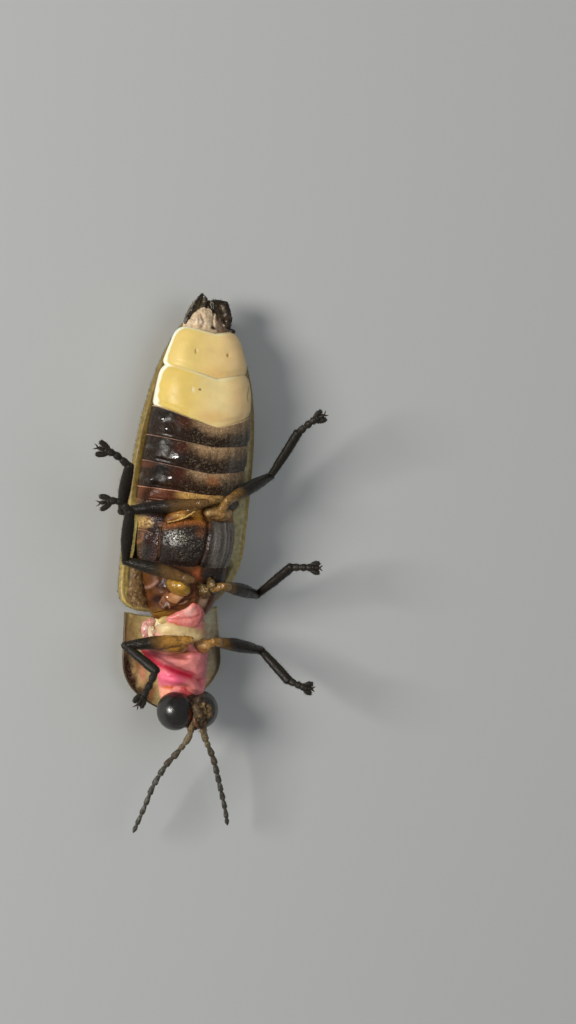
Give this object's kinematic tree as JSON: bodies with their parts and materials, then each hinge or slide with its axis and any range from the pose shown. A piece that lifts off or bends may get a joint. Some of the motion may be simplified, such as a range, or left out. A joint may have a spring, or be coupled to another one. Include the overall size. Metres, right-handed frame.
{
  "type": "firefly",
  "caption": "Life-size male firefly lying on its wing cases, belly up, with a pale lantern, rosy underside and bent legs.",
  "frame": {"origin": "on the surface that the firefly lies on, under the middle of its box", "axes": "+Z from its back to its belly, which faces up; +Y towards its tail; +X to its own right side"},
  "size_m": [0.0086, 0.0175, 0.0032],
  "materials": {
    "wing_cases": "dark brown horny cuticle with dull yellow edges, finely granular",
    "shield": "translucent cream olive cuticle with a smoky band along the sides",
    "rosy_underside": "soft, satin, rosy pink skin with folds",
    "amber_thorax": "glossy amber and red-brown cuticle",
    "dark_thorax": "glossy dark brown cuticle with fine hairs",
    "dark_belly": "glossy brown-black plates with pale hind edges and fine hairs",
    "lantern": "waxy creamy yellow, satin",
    "tail_tip": "pale wrinkled plate with dark brown lobes",
    "head": "brown hairy cuticle with golden brown mouthparts",
    "eyes": "glossy black with very fine facets",
    "feelers": "dark grey-brown with short hairs and pale joints",
    "legs": "grey-black hairy cuticle, amber at the roots"
  },
  "bodies": {
    "root": {"elytron_left": "wing_cases", "elytron_right": "wing_cases", "pronotum": "shield", "prosternum": "rosy_underside", "mesothorax": "amber_thorax", "metathorax": "dark_thorax", "abdomen": "dark_belly", "lantern_front": "lantern", "lantern_rear": "lantern", "abdomen_tip": "tail_tip", "head": "head", "eye_left": "eyes", "eye_right": "eyes", "antenna_left": "feelers", "antenna_right": "feelers", "leg_front_left": "legs", "leg_front_right": "legs", "leg_middle_left": "legs", "leg_middle_right": "legs", "leg_hind_left": "legs", "leg_hind_right": "legs"}
  },
  "joints": []
}
